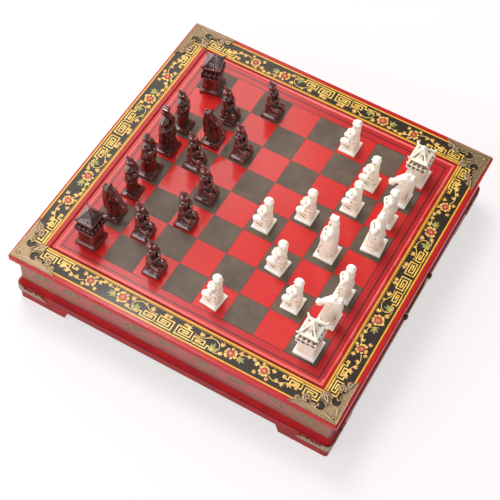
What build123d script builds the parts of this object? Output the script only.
from build123d import *
import os

os.makedirs("parts", exist_ok=True)

# Lacquered chess box: a framed playing board on top of a two-drawer case on bracket feet,
# with 32 cast figures standing on the squares.
# Millimetres, +Z up. Origin on the floor under the middle of the box.
# +X is the side of the right drawer, -Y the front panel.

# ---- board and top frame ----
square = 29.0            # one playing square
margin = 11.5            # border of the board beside the squares
board_t = 3.0            # board panel thickness
recess = 1.5             # board face below the frame face
tongue = 4.0             # board edge held in the frame's groove
rail_w = 28.5            # visible width of a frame rail
rail_t = 6.5             # thickness of a frame rail
rail_round = 1.5         # rounding of the frame's outer edges
bevel_w, bevel_h = 2.6, 1.1   # slope of the frame down towards the board
quirk_w, quirk_d = 0.8, 0.5   # fine groove outside that slope
box_h = 66.0             # floor to frame face

# ---- case ----
waist_in = 6.0           # case walls behind the frame's edge
wall_t = 6.0             # front and back panels
base_in = 2.5            # base face behind the frame's edge
base_r = 4.0             # rounding of the base's upright corners
foot_h = 13.0            # bracket feet
base_face = 9.5          # flat face of the base moulding
base_h = 16.5            # base moulding with its cove
base_t = 12.0            # base moulding inwards from the case's outer face
lip = 0.6                # width of the flat lip below the cove
floor_t = 3.0            # floor board, let into the base
floor_lap = 6.0          # its bearing in the rebate
divider_t = 6.0          # wall between the two drawers
foot_len, foot_cut = 50.0, 4.0   # bracket foot at its top, and how far its end slopes in
foot_t, foot_in = 10.0, 1.0      # thickness of a bracket, and its face behind the base face

# ---- drawers ----
gap = 0.3                # running gap round a drawer front and under a drawer
side_gap = 0.8           # running gap beside a drawer
front_t = 8.0
tray_t = 5.0             # drawer sides and back
tray_down = 6.7          # drawer sides below the frame
bottom_t, bottom_up, housing = 2.5, 1.5, 2.0   # drawer bottom, its height and its groove
lining_t = 1.0

# ---- brasswork ----
brass_t = 0.8
plate_leg = 44.0         # corner plate along the frame's edge
plate_in = 1.5           # corner plate behind the frame's edge
strap_len = 31.0         # base corner strap along one side
pull_len, pull_w, pull_t = 65.0, 8.0, 1.0
post_gap = 48.0          # between the pull's two posts
post_r, post_out = 2.0, 7.5
bail_r, bail_drop = 1.1, 8.0
pin_clear = 0.05

# ---- figures: plinth depth and width, then the whole height ----
rook_x, rook_y, rook_h = 19.5, 21.0, 43.0
knight_x, knight_y, knight_h = 17.0, 18.5, 41.0
pawn_x, pawn_y, pawn_h = 16.0, 18.0, 43.5
bishop_x, bishop_y, bishop_h = 15.5, 17.0, 48.0
royal_x, royal_y = 18.5, 20.0
queen_h, king_h = 50.5, 55.0
plinth_h = 4.4

field = 8 * square
board_w = field + 2 * margin
top_w = board_w + 2 * rail_w
waist_w = top_w - 2 * waist_in
base_w = top_w - 2 * base_in
board_z = box_h - recess
rail_z = box_h - rail_t
case_z = foot_h + base_h

UP = (Align.CENTER, Align.CENTER, Align.MIN)


def save(name, *shapes):
    solids = [s for shape in shapes for s in shape.solids()]
    export_step(solids[0] if len(solids) == 1 else Compound(solids), f"parts/{name}.step")


def block(x0, x1, y0, y1, z0, z1):
    return Pos(x0, y0, z0) * Box(x1 - x0, y1 - y0, z1 - z0, align=(Align.MIN,) * 3)


def slab(w, z0, z1):
    return block(-w / 2, w / 2, -w / 2, w / 2, z0, z1)


def mitred(ring, w, cut):
    """Cut a square ring into front, right, back and left lengths at 45 degree mitres."""
    half = w / 2 + 1
    wedge = extrude(Polygon((-half, -half), (half, -half), (w / 2 - cut, -w / 2 + cut),
                            (-w / 2 + cut, -w / 2 + cut), align=None), box_h)
    return {side: ring & Rot(0, 0, 90 * i) * wedge
            for i, side in enumerate(("front", "right", "back", "left"))}


def four_corners(shape):
    """The shape at the front right corner, and its mirror images at the other three."""
    left = mirror(shape, about=Plane.YZ)
    return [shape, left, mirror(shape, about=Plane.XZ), mirror(left, about=Plane.XZ)]


def ring8(z, x, rx, ry, y=0.0):
    """An eight-sided level section, rx deep and ry wide to its flats, with 45 degree corners."""
    c = 0.55 * min(rx, ry)
    return [Vector(x + u, y + v, z) for u, v in
            ((rx, c - ry), (rx, ry - c), (rx - c, ry), (c - rx, ry),
             (-rx, ry - c), (-rx, c - ry), (c - rx, -ry), (rx - c, -ry))]


def faceted(rings):
    """A solid with flat sides through level rings that have the same corners."""
    faces = [Face(Wire.make_polygon(rings[0])), Face(Wire.make_polygon(rings[-1]))]
    for low, high in zip(rings, rings[1:]):
        for i, p in enumerate(low):
            faces.append(Face(Wire.make_polygon([p, low[i - 1], high[i - 1], high[i]])))
    return Solid(Shell(faces))


def body(*rings):
    return faceted([ring8(*r) for r in rings])


def tiers(w, d, *steps):
    """A solid through level rectangles: each step is a height and what it takes off w and d."""
    corners = ((1, -1), (1, 1), (-1, 1), (-1, -1))
    return faceted([[Vector(i * (w - c) / 2, j * (d - c) / 2, z) for i, j in corners]
                    for z, c in steps])


# ---- top frame: grooved rails, mitred at the corners, with a slope down to the board ----
panel_w = board_w + 2 * tongue
frame = slab(top_w, rail_z, box_h)
frame = fillet(frame.edges().filter_by(Axis.Z), 2.0)
frame = fillet(frame.edges().group_by(Axis.Z)[-1] + frame.edges().group_by(Axis.Z)[0], rail_round)
frame -= slab(board_w, rail_z, box_h) + slab(panel_w, board_z - board_t, board_z)
frame -= loft([Pos(0, 0, z) * Rectangle(board_w + 2 * out, board_w + 2 * out)
               for z, out in ((box_h - bevel_h, 0), (box_h, bevel_w))], ruled=True)
inside, outside = (board_w + 2 * (bevel_w + extra) for extra in (0, quirk_w))
quirk = Rectangle(outside, outside) - Rectangle(inside, inside)
frame -= extrude(Pos(0, 0, box_h - quirk_d) * quirk, quirk_d)
for side, rail in mitred(frame, top_w, rail_w + 2 * tongue).items():
    save(f"top_rail_{side}", rail)

save("board_panel", slab(panel_w, board_z - board_t, board_z))


# ---- corner plates: sheet brass with scrolled inner edges and pierced cloud openings ----
def pair(u, v, r):
    """A disc at u along one edge and v along the other, and its mirror image."""
    disc = RegularPolygon(r, 12 if r > 3.8 else 8)
    return Pos(u, v) * disc + Pos(v, u) * disc


half_leg = Polygon((0, 0), (plate_leg, 0), (plate_leg - 2.5, 1.2), (plate_leg - 4, 4),
                   (plate_leg - 9, 6), (plate_leg - 16, 8), (0, 8), align=None)
plate = half_leg + mirror(half_leg, about=Plane((0, 0, 0), x_dir=(1, 1, 0), z_dir=(1, -1, 0)))
plate += Pos(10.5, 10.5) * Rectangle(21, 21)
plate += pair(plate_leg - 6.5, 6.0, 2.6) + pair(31, 9.5, 4.0) + pair(20.5, 17.5, 2.6)
plate += Pos(21, 21) * RegularPolygon(2.0, 8)
plate -= pair(18.2, 8.8, 3.9) + pair(22.8, 11.2, 2.2) + pair(28.2, 7.0, 1.2)
plate = extrude(Pos(-top_w / 2 + plate_in, -top_w / 2 + plate_in, box_h) * plate, brass_t)
save("corner_plates", *four_corners(mirror(plate, about=Plane.YZ)))

# ---- case: front and back panels, divider, floor board ----
for side, turn in (("front", 0), ("back", 180)):
    wall = block(-waist_w / 2, waist_w / 2, -waist_w / 2, -waist_w / 2 + wall_t, case_z, rail_z)
    outer = wall.edges().filter_by(Axis.Z).group_by(Axis.Y)[0]
    save(f"{side}_panel", Rot(0, 0, turn) * fillet(outer, 1.5))
inner_y = waist_w / 2 - wall_t
save("divider", block(-divider_t / 2, divider_t / 2, -inner_y, inner_y, case_z, rail_z))

bearing_w = waist_w - 2 * base_t
floor_w = bearing_w + 2 * floor_lap
save("floor_board", slab(floor_w, case_z - floor_t, case_z))

# ---- base moulding: flat face, lip and cove, mitred, with a rebate for the floor board ----
outline = RectangleRounded(base_w, base_w, base_r)
base = extrude(Pos(0, 0, foot_h) * outline, base_h)
base -= slab(bearing_w, foot_h, case_z) + slab(floor_w, case_z - floor_t, case_z)
path = Pos(0, 0, foot_h + base_face) * outline.wire()
start, along = path @ 0, path % 0
inward = Vector(0, 0, 1).cross(along)
inward = inward if inward.dot(start) < 0 else inward * -1
throat, rise = waist_in - base_in, base_h - base_face
cove = ThreePointArc((lip, 0), (0.62 * throat, 0.36 * rise), (throat, rise)) \
    + Polyline((throat, rise), (throat, base_h), (-2, base_h), (-2, 0), (lip, 0))
cove_at = Plane(origin=start, x_dir=inward, z_dir=inward.cross(Vector(0, 0, 1)))
base -= sweep(cove_at * make_face(cove), path=path)
save("base_moulding", *mitred(base, base_w, rail_w).values())

# ---- bracket feet: L shaped, with sloping ends ----
foot_w = base_w - 2 * foot_in
bracket = Polygon((0, 0), (foot_len - foot_cut, 0), (foot_len, foot_h), (0, foot_h), align=None)
ring = extrude(RectangleRounded(foot_w, foot_w, base_r - foot_in)
               - Rectangle(foot_w - 2 * foot_t, foot_w - 2 * foot_t), foot_h)
wing = Pos(foot_w / 2, 0, 0) * mirror(extrude(Plane.XZ * bracket, foot_w / 2), about=Plane.YZ)
wing &= block(0, foot_w, -foot_w, -foot_w / 2 + foot_t, 0, foot_h)
other = mirror(wing, about=Plane((0, 0, 0), x_dir=(1, -1, 0), z_dir=(1, 1, 0)))
save("feet", *four_corners(ring & (wing + other)))

# ---- corner straps: thin brass wrapped round the base's corners, scalloped to a tip ----
tip = strap_len
scallop = Polygon((-2, 0), (tip - 2, 0), (tip, 1.2), (tip - 4, 3.6), (tip - 7, 6.2), (tip - 12, 6.4),
                  (tip - 16, 4.6), (tip - 20, 4.8), (tip - 25, 7.8), (-2, 8.8), align=None)
wrap = RectangleRounded(base_w + 2 * brass_t, base_w + 2 * brass_t, base_r + brass_t) - outline
band = extrude(Pos(0, 0, foot_h) * wrap, base_face)
wing = Pos(base_w / 2, 0, foot_h) * mirror(extrude(Plane.XZ * scallop, base_w), about=Plane.YZ)
wing &= block(0, base_w, -base_w, -base_w / 2 + base_r, 0, box_h)
other = mirror(wing, about=Plane((0, 0, 0), x_dir=(1, -1, 0), z_dir=(1, 1, 0)))
save("corner_straps", *four_corners(band & (wing + other)))

# ---- drawers, drawn for the right side and turned half round for the left ----
face_x = waist_w / 2
tray_y = inner_y - side_gap
back_x = divider_t / 2 + 1.5
tray_x = face_x - front_t
tray_z = case_z + gap
tray_top = rail_z - tray_down
bed = tray_z + bottom_up
bottom = block(back_x + tray_t - housing, tray_x + housing, -tray_y + tray_t - housing,
               tray_y - tray_t + housing, bed, bed + bottom_t)
front = block(tray_x, face_x, -inner_y + gap, inner_y - gap, tray_z, rail_z - gap)
front = chamfer(front.faces().sort_by(Axis.X)[-1].edges(), 0.6) - bottom
side = block(back_x, tray_x, -tray_y, -tray_y + tray_t, tray_z, tray_top) - bottom
back = block(back_x, back_x + tray_t, -tray_y + tray_t, tray_y - tray_t, tray_z, tray_top) - bottom
lining = block(back_x + tray_t + gap, tray_x - gap, -tray_y + tray_t + gap, tray_y - tray_t - gap,
               bed + bottom_t, bed + bottom_t + lining_t)

# drop pull: long backplate, two turned posts and a hinged bail
pull_z = (case_z + rail_z) / 2 + 0.5
end_r = 3.2
backplate = Rectangle(post_gap, pull_w - 2.6)
for s in (-1, 1):
    backplate += Pos(s * post_gap / 2, 0) * RegularPolygon(pull_w / 2, 8)
    backplate += Pos(s * (pull_len / 2 - end_r), 0) * RegularPolygon(end_r, 8)
    backplate -= Pos(s * (pull_len / 2 - end_r), 0) * RegularPolygon(1.2, 8)
backplate = Pos(face_x, 0, pull_z) * (Plane.YZ * extrude(backplate, pull_t))
pivot_x = face_x + pull_t + 0.55 * post_out
post = Rot(0, 90, 0) * body(*[(out, 0, r, r) for out, r in (
    (0, post_r + 0.8), (0.9, post_r), (post_out - 2.2, post_r), (post_out - 1.5, post_r + 0.7),
    (post_out, post_r - 0.6))])
posts = []
for s in (-1, 1):
    hole = Pos(pivot_x, s * post_gap / 2, pull_z) * Rot(90, 0, 0) * Cylinder(bail_r + pin_clear, 4 * post_r)
    posts.append(Pos(face_x + pull_t, s * post_gap / 2, pull_z) * post - hole)

arm = post_gap / 2 - post_r
half_bow = [(arm - 1.2, 0), (arm - 2.0, -1.6), (arm - 2.6, 2.2 - bail_drop), (arm - 5.0, 0.4 - bail_drop)]
bow = Polyline(*half_bow, (0, -bail_drop), *[(-u, v) for u, v in reversed(half_bow)])
bow = Pos(pivot_x, 0, pull_z) * (Plane.YZ * bow)
bail = sweep(Plane(origin=bow @ 0, z_dir=bow % 0) * RegularPolygon(bail_r, 8), path=bow,
             transition=Transition.RIGHT)
for s in (-1, 1):
    bail += Pos(pivot_x, s * post_gap / 2, pull_z) * Rot(90, 0, 0) * Cylinder(bail_r, 2 * post_r + 3.0)

for name, turn in (("right", 0), ("left", 180)):
    spin = Rot(0, 0, turn)
    save(f"drawer_{name}_front", spin * front)
    save(f"drawer_{name}_sides", spin * side, spin * mirror(side, about=Plane.XZ))
    save(f"drawer_{name}_back", spin * back)
    save(f"drawer_{name}_bottom", spin * bottom)
    save(f"drawer_{name}_lining", spin * lining)
    save(f"drawer_{name}_pull", spin * backplate, *[spin * p for p in posts])
    save(f"drawer_{name}_bail", spin * bail)


# ---- figures: each stands on z = 0 and looks towards +X ----
# Heights inside a figure are shares of its whole height.
def plinth(w, d):
    return Box(w, d, 0.6 * plinth_h, align=UP) + tiers(w, d, (0.6 * plinth_h, 1.0), (plinth_h, 3.0))


def head(top, x, r):
    """Head with a topknot that ends at the given height."""
    z = top - 2.9 * r
    return body((z, x, 0.62 * r, 0.6 * r), (z + 0.9 * r, x + 0.1 * r, r, 0.88 * r),
                (z + 2.1 * r, x - 0.2 * r, 0.6 * r, 0.6 * r), (top, x - 0.3 * r, 0.42 * r, 0.4 * r))


def hands(h, x, reach, wide, low, high):
    """Sleeves and folded hands in front of the chest."""
    mid = (low + 2 * high) / 3
    return body((low * h, x, 0.9 * reach, wide), (mid * h, x + 0.4, reach, 0.9 * wide),
                (high * h, x - 0.8, 0.7 * reach, 0.62 * wide))


def pawn():
    """Kneeling guard."""
    h = pawn_h
    fig = plinth(pawn_x, pawn_y)
    fig += body((plinth_h, -0.8, 5.6, 6.2), (0.28 * h, -1.0, 5.4, 6.0), (0.43 * h, -1.6, 4.0, 4.8),
                (0.63 * h, -2.0, 3.8, 5.6), (0.735 * h, -2.0, 2.0, 2.4), (0.80 * h, -1.8, 1.7, 1.7))
    fig += body((plinth_h, 3.6, 2.2, 2.4, 2.2), (0.38 * h, 4.4, 2.2, 2.1, 2.4))
    return fig + hands(h, 2.2, 2.8, 4.6, 0.43, 0.60) + head(h, -1.6, 3.2)


def bishop():
    """Standing guard with a flared armour skirt."""
    h = bishop_h
    fig = plinth(bishop_x, bishop_y)
    fig += body((plinth_h, -0.6, 4.4, 5.4), (0.30 * h, -0.8, 4.6, 5.6), (0.32 * h, -0.8, 5.6, 6.6),
                (0.53 * h, -1.0, 4.2, 5.0), (0.71 * h, -1.2, 4.0, 6.2), (0.78 * h, -1.2, 2.2, 3.0),
                (0.825 * h, -1.2, 1.6, 1.6))
    return fig + hands(h, 2.6, 2.2, 4.8, 0.435, 0.60) + head(h, -1.2, 3.1)


def queen():
    """Robed figure with wide skirts."""
    h = queen_h
    fig = plinth(royal_x, royal_y)
    fig += body((plinth_h, 0, 7.4, 8.4), (0.26 * h, -0.4, 6.0, 7.0), (0.52 * h, -1.0, 4.6, 5.6),
                (0.72 * h, -1.2, 4.2, 6.6), (0.78 * h, -1.2, 2.2, 3.0), (0.826 * h, -1.2, 1.6, 1.6))
    return fig + hands(h, 2.6, 2.4, 5.2, 0.435, 0.61) + head(h, -1.0, 3.2)


def king():
    """Robed figure under a flat board hat."""
    h = king_h
    fig = plinth(royal_x, royal_y)
    fig += body((plinth_h, -0.2, 6.8, 7.8), (0.28 * h, -0.4, 6.2, 7.6), (0.56 * h, -0.8, 5.6, 7.4),
                (0.72 * h, -1.0, 4.4, 6.8), (0.783 * h, -1.2, 2.4, 3.4), (0.823 * h, -1.2, 1.8, 1.8))
    fig += hands(h, 3.0, 2.6, 5.4, 0.48, 0.64)
    fig += body((0.803 * h, -1.2, 2.0, 1.9), (0.853 * h, -1.0, 3.2, 2.8), (0.924 * h, -1.2, 3.0, 2.8),
                (0.953 * h, -1.2, 2.2, 2.2))
    return fig + Pos(-0.6, 0, 0.95 * h) * Rot(0, 6, 0) * Box(10.5, 8.0, 0.04 * h, align=UP)


def knight():
    """Horse's head and neck: its profile crossed with its front view."""
    h = knight_h
    fig = plinth(knight_x, knight_y)
    profile = [(-7.0, plinth_h / h), (-7.4, 0.30), (-8.0, 0.58), (-7.8, 0.80), (-6.2, 0.92), (-4.4, 1.0),
               (-2.8, 0.93), (0.6, 0.84), (6.0, 0.67), (11.0, 0.53), (12.8, 0.45), (11.8, 0.365),
               (9.4, 0.37), (5.0, 0.49), (2.6, 0.46), (3.6, 0.30), (6.0, 0.20), (6.4, plinth_h / h)]
    half = [(6.4, 0), (6.0, 0.25), (4.4, 0.45), (3.8, 0.69), (3.2, 0.91), (2.6, 1.04)]
    across = half + [(-u, v) for u, v in reversed(half)]
    side_view, front_view = (Polygon(*[(u, share * h) for u, share in line], align=None)
                             for line in (profile, across))
    return fig + (extrude(Plane.XZ * side_view, 10, both=True)
                  & extrude(Plane.YZ * front_view, 14, both=True))


def rook():
    """Pagoda on a battered brick tower, with a railed gallery and a curved roof."""
    w, d, h = rook_x, rook_y, rook_h
    gallery, eaves = 0.46 * h, 0.755 * h
    fig = Box(w, d, 0.08 * h, align=UP) + tiers(w, d, (0.08 * h, 2.6), (gallery, 5.0))
    fig += Pos(0, 0, gallery) * Box(w - 1.2, d - 1.2, 0.035 * h, align=UP)
    fig += Pos(0, 0, gallery) * Box(w - 8.5, d - 8.5, eaves - gallery + 0.5, align=UP)
    rail_x, rail_y = w / 2 - 1.5, d / 2 - 1.5
    baluster = Box(1.8, 1.8, 0.105 * h, align=UP)
    for i in (-1, 0, 1):
        for s in (-1, 1):
            fig += Pos(i * rail_x, s * rail_y, gallery + 0.03 * h) * baluster
    for s in (-1, 1):
        fig += Pos(s * rail_x, 0, gallery + 0.03 * h) * baluster
    roof = h - eaves
    horn = extrude(Rectangle(2.0, 2.0), 0.4 * roof, taper=12)
    for x, y in ((1, 1), (1, -1), (-1, 1), (-1, -1)):
        fig += Pos(x * (w / 2 - 3.5), y * (d / 2 - 3.5), eaves + 0.05 * roof) * horn
    return fig + tiers(w, d, *[(eaves + share * roof, off) for share, off in (
        (0, 6.6), (0.1, 4.8), (0.2, 5.6), (0.38, 9.2), (0.64, 12.8), (1, 16.4))])


# Game position: column from the left, row from the back, then the offset inside the square and
# the turn in degrees. Dark figures look to +X, white ones to -X.
dark = {
    "rook": [(0, 0, -1.6, -6.0, 15), (0, 7, -4.0, -3.0, 0)],
    "knight": [(1, 2, 1.4, -2.3, 0), (0, 6, -1.6, -0.4, 0)],
    "bishop": [(0, 2, -0.5, -2.3, 0), (0, 5, -0.5, -1.1, 0)],
    "king": [(0, 3, -0.5, -1.5, 0)],
    "queen": [(0, 4, -0.5, -3.0, 0)],
    "pawn": [(2, 0, 3.3, -4.5, 0), (1, 1, 1.0, -1.9, 0), (2, 2, 2.2, -3.4, 0), (1, 3, 1.0, -4.5, 0),
             (2, 4, -1.1, -0.8, 0), (2, 5, -2.2, -4.5, 0), (1, 6, 1.4, -4.5, 0), (2, 7, 0.0, -1.9, 0)],
}
white = {
    "rook": [(7, 0, 3.0, -1.5, 0), (7, 7, 1.8, -1.9, 0)],
    "knight": [(7, 1, 0.7, -1.9, 0), (7, 6, 3.0, 1.9, 0)],
    "bishop": [(7, 2, 0.7, 0.0, 0), (7, 5, 3.0, 0.0, 0)],
    "king": [(6, 4, 1.0, 1.5, 0)],
    "queen": [(7, 3, 3.0, -0.4, 4)],
    "pawn": [(5, 0, -4.5, -2.7, 0), (6, 1, -1.2, -0.8, 0), (6, 2, -2.3, -3.4, 0), (5, 3, -3.1, -2.7, 0),
             (4, 4, -1.7, -0.8, 0), (5, 5, 0.2, -3.4, -5), (6, 6, -0.1, -0.4, 0), (4, 7, -0.6, -1.9, -6)],
}
models = {"rook": rook(), "knight": knight(), "bishop": bishop(), "king": king(),
          "queen": queen(), "pawn": pawn()}
for colour, army, facing in (("dark", dark, 0), ("white", white, 180)):
    for kind, places in army.items():
        for n, (col, row, dx, dy, turn) in enumerate(places, 1):
            x, y = (col - 3.5) * square + dx, (3.5 - row) * square + dy
            save(f"{colour}_{kind}_{n}", Pos(x, y, board_z) * Rot(0, 0, facing + turn) * models[kind])
